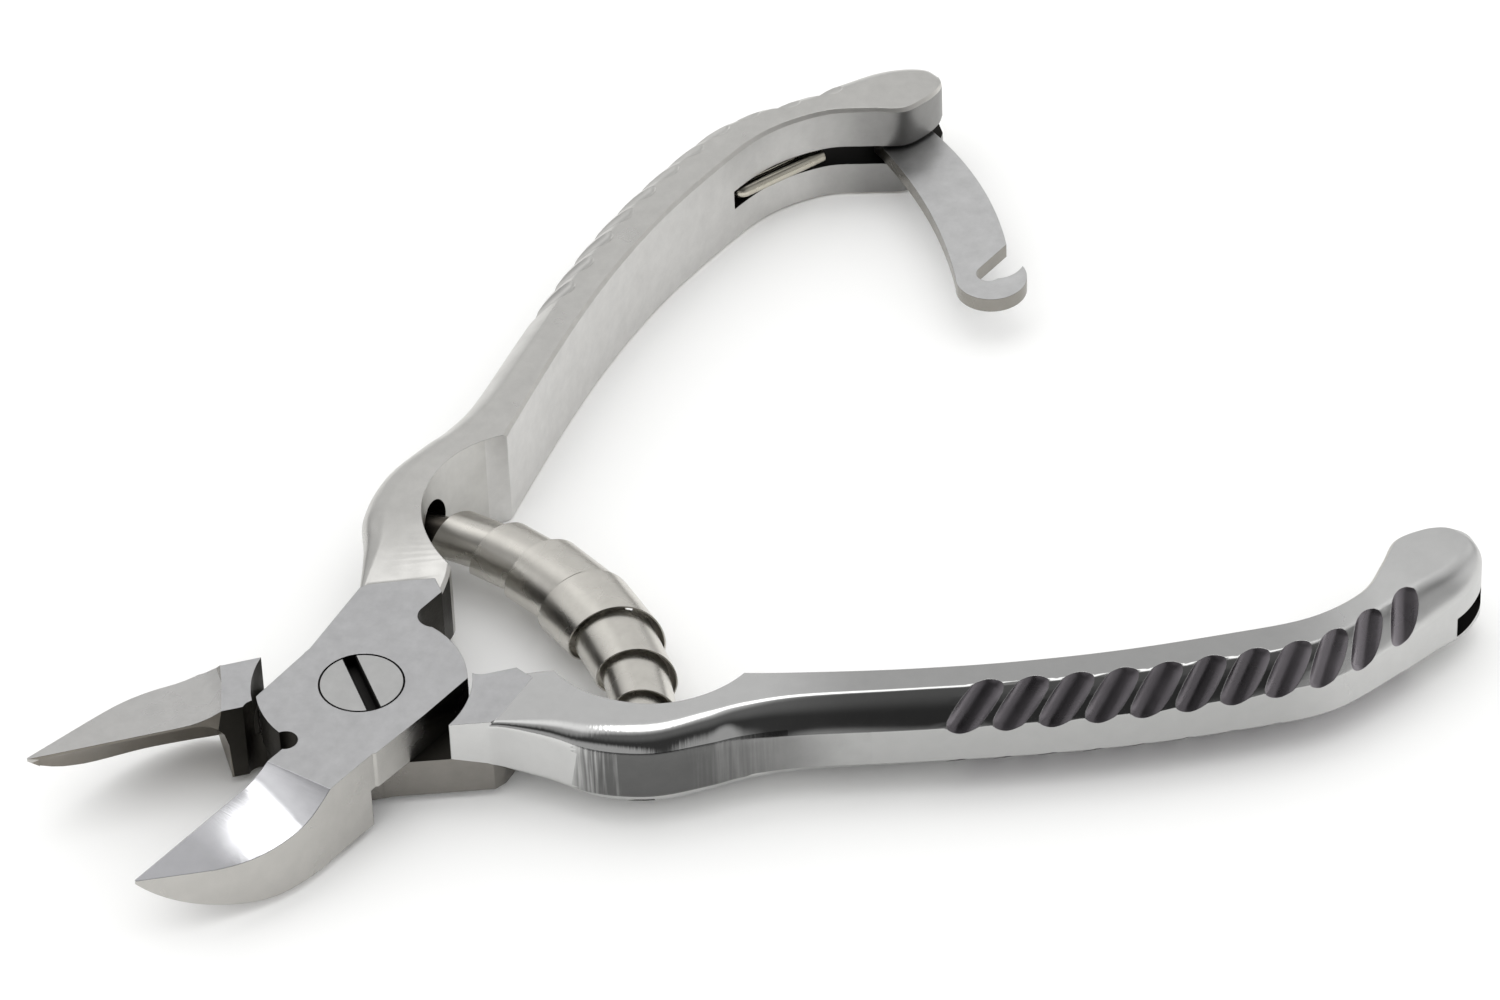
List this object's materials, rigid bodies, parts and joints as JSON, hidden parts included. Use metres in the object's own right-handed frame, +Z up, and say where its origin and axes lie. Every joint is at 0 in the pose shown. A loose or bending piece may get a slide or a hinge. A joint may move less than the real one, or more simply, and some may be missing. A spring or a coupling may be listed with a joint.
{
  "type": "nail nipper",
  "caption": "Forged steel nail nipper with hollow-ground pointed jaws, screwed lap joint, barrel spring between bowed handles and a hooked catch that holds them shut.",
  "frame": {"origin": "on the pivot axis, on the flat underside of the joint", "axes": "+X along the middle line between the handles, towards their tails, with the jaws at -X; +Z up along the pivot axis, out of the screw's slotted head; +Y towards the handle that carries the catch"},
  "size_m": [0.1287, 0.1051, 0.0113],
  "materials": {
    "forged_steel": "satin and mirror-polished stainless steel",
    "plate_steel": "flat satin stainless steel",
    "turned_steel": "turned stainless steel",
    "spring_steel": "satin spring steel"
  },
  "bodies": {
    "front": {"plain_lever": "forged_steel", "pivot_screw": "turned_steel", "front_spring_stud": "turned_steel", "striker_pin": "turned_steel", "barrel_spring": "spring_steel"},
    "rear": {"catch_lever": "forged_steel", "rear_spring_stud": "turned_steel", "catch_pin": "turned_steel", "catch_spring": "spring_steel"},
    "catch": {"lock_catch": "plate_steel"}
  },
  "joints": [
    {"name": "lever_hinge", "type": "hinge", "parent": "front", "child": "rear", "pos_m": [0, 0, 0.0043], "axis": [0, 0, 1], "range_deg": [-36.4, 0], "stiffness_Nm_per_rad": 0.8, "springref_deg": 5.73, "deforming": ["barrel_spring"]},
    {"name": "catch_hinge", "type": "hinge", "parent": "rear", "child": "catch", "pos_m": [0.09292, 0.04652, 0.0043], "axis": [0, 0, 1], "range_deg": [0, 31.3], "stiffness_Nm_per_rad": 0.01, "springref_deg": -8.59}
  ]
}
